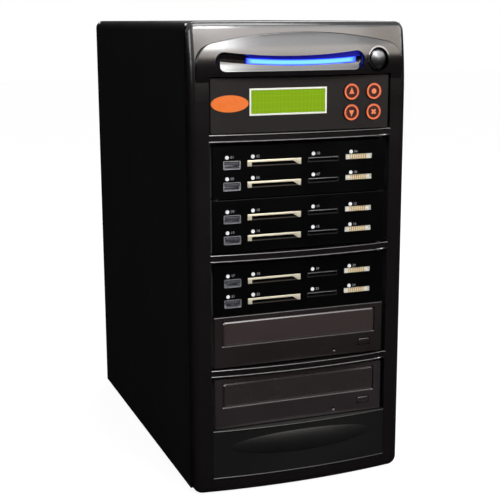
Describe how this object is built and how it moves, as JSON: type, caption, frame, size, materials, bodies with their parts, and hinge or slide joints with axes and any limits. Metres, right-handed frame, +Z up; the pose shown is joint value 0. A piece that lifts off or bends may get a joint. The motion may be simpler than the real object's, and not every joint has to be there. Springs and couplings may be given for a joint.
{
  "type": "blu-ray duplicator",
  "caption": "Tower disc duplicator: bowed black bezel with a lit curved slot, display and keys, card-reader faces, optical drives with sliding trays, steel case with rear fan and mains inlet.",
  "frame": {"origin": "on the floor plane, under the centre of the overall box", "axes": "+Z up, -Y towards the front bezel, +X to the right as seen from the front"},
  "size_m": [0.1836, 0.3197, 0.3786],
  "materials": {
    "bezel_black": "satin gloss, pigmented",
    "cover_black": "fine powder coat",
    "chassis_steel": "zinc plated sheet",
    "drive_plastic": "fine grain",
    "tray_plastic": "fine grain",
    "deck_plastic": "moulded",
    "reader_black": "smooth",
    "control_grey": "fine grain",
    "display_glass": "lit yellow-green",
    "key_orange": "smooth",
    "badge_orange": "printed, blank",
    "light_blue": "lit",
    "ring_chrome": "dark chrome",
    "button_black": "gloss",
    "port_metal": "nickel plated",
    "card_frame": "pale plated",
    "card_black": "moulded",
    "card_gold": "plated contacts",
    "lamp_white": "clear white",
    "board_green": "solder mask",
    "rubber_black": "matt",
    "fan_black": "moulded",
    "screw_zinc": "zinc plated",
    "inlet_black": "moulded",
    "pin_brass": "plated"
  },
  "bodies": {
    "tower": {"wrap_cover": "cover_black", "base_pan": "chassis_steel", "rear_panel": "chassis_steel", "front_frame": "chassis_steel", "cage_walls": "chassis_steel", "rubber_feet": "rubber_black", "cover_screws": "screw_zinc", "unit_screws": "screw_zinc", "front_bezel": "bezel_black", "lower_cover": "bezel_black", "light_bar": "light_blue", "front_board": "board_green", "power_ring": "ring_chrome", "controller_panel": "control_grey", "lcd_window": "display_glass", "lcd_module": "deck_plastic", "controller_board": "board_green", "badge_oval": "badge_orange", "unit_trays": "chassis_steel", "reader_panel_1": "reader_black", "reader_panel_2": "reader_black", "reader_panel_3": "reader_black", "usb_ports": "port_metal", "cf_sockets": "card_frame", "sd_sockets": "card_black", "ms_sockets": "card_gold", "status_lamps": "lamp_white", "unit_boards": "board_green", "guide_rods": "screw_zinc", "psu_case": "chassis_steel", "psu_inlet": "inlet_black", "inlet_pins": "pin_brass", "fan_frames": "fan_black", "fan_guards": "screw_zinc", "fan_screws": "screw_zinc", "drive_1_case": "chassis_steel", "drive_1_face": "drive_plastic", "drive_1_deck": "deck_plastic", "drive_2_case": "chassis_steel", "drive_2_face": "drive_plastic", "drive_2_deck": "deck_plastic"},
    "power_button": {"power_button": "button_black"},
    "key_up": {"key_up": "key_orange"},
    "key_enter": {"key_enter": "key_orange"},
    "key_down": {"key_down": "key_orange"},
    "key_cancel": {"key_cancel": "key_orange"},
    "psu_rocker": {"psu_rocker": "inlet_black"},
    "fan_rotor": {"fan_rotor": "fan_black"},
    "psu_fan_rotor": {"psu_fan_rotor": "fan_black"},
    "drive_1_tray": {"drive_1_tray": "tray_plastic", "drive_1_tray_door": "tray_plastic"},
    "drive_1_eject": {"drive_1_eject_button": "drive_plastic"},
    "drive_1_turntable": {"drive_1_turntable": "deck_plastic"},
    "drive_1_pickup": {"drive_1_pickup": "deck_plastic"},
    "drive_2_tray": {"drive_2_tray": "tray_plastic", "drive_2_tray_door": "tray_plastic"},
    "drive_2_eject": {"drive_2_eject_button": "drive_plastic"},
    "drive_2_turntable": {"drive_2_turntable": "deck_plastic"},
    "drive_2_pickup": {"drive_2_pickup": "deck_plastic"}
  },
  "joints": [
    {"name": "power_button_press", "type": "slide", "parent": "tower", "child": "power_button", "axis": [0, 1, 0], "range_m": [0, 0.0025], "stiffness_N_per_m": 400},
    {"name": "key_up_press", "type": "slide", "parent": "tower", "child": "key_up", "axis": [0, 1, 0], "range_m": [0, 0.0008], "stiffness_N_per_m": 600},
    {"name": "key_enter_press", "type": "slide", "parent": "tower", "child": "key_enter", "axis": [0, 1, 0], "range_m": [0, 0.0008], "stiffness_N_per_m": 600},
    {"name": "key_down_press", "type": "slide", "parent": "tower", "child": "key_down", "axis": [0, 1, 0], "range_m": [0, 0.0008], "stiffness_N_per_m": 600},
    {"name": "key_cancel_press", "type": "slide", "parent": "tower", "child": "key_cancel", "axis": [0, 1, 0], "range_m": [0, 0.0008], "stiffness_N_per_m": 600},
    {"name": "drive_1_tray_slide", "type": "slide", "parent": "tower", "child": "drive_1_tray", "axis": [0, -1, 0], "range_m": [0, 0.14]},
    {"name": "drive_1_eject_press", "type": "slide", "parent": "tower", "child": "drive_1_eject", "axis": [0, 1, 0], "range_m": [0, 0.001], "stiffness_N_per_m": 500},
    {"name": "drive_1_disc_spin", "type": "hinge", "parent": "tower", "child": "drive_1_turntable", "pos_m": [0, -0.079, 0.1165], "axis": [0, 0, 1], "continuous": true},
    {"name": "drive_1_pickup_slide", "type": "slide", "parent": "tower", "child": "drive_1_pickup", "axis": [0, 1, 0], "range_m": [0, 0.026]},
    {"name": "drive_2_tray_slide", "type": "slide", "parent": "tower", "child": "drive_2_tray", "axis": [0, -1, 0], "range_m": [0, 0.14]},
    {"name": "drive_2_eject_press", "type": "slide", "parent": "tower", "child": "drive_2_eject", "axis": [0, 1, 0], "range_m": [0, 0.001], "stiffness_N_per_m": 500},
    {"name": "drive_2_disc_spin", "type": "hinge", "parent": "tower", "child": "drive_2_turntable", "pos_m": [0, -0.079, 0.0652], "axis": [0, 0, 1], "continuous": true},
    {"name": "drive_2_pickup_slide", "type": "slide", "parent": "tower", "child": "drive_2_pickup", "axis": [0, 1, 0], "range_m": [0, 0.026]},
    {"name": "mains_rocker_tip", "type": "hinge", "parent": "tower", "child": "psu_rocker", "pos_m": [0.046, 0.153, 0.029], "axis": [1, 0, 0], "range_deg": [0, 16]},
    {"name": "fan_spin", "type": "hinge", "parent": "tower", "child": "fan_rotor", "pos_m": [0, 0.1325, 0.171], "axis": [0, 1, 0], "continuous": true},
    {"name": "psu_fan_spin", "type": "hinge", "parent": "tower", "child": "psu_fan_rotor", "pos_m": [-0.03, 0.1315, 0.048], "axis": [0, 1, 0], "continuous": true}
  ]
}
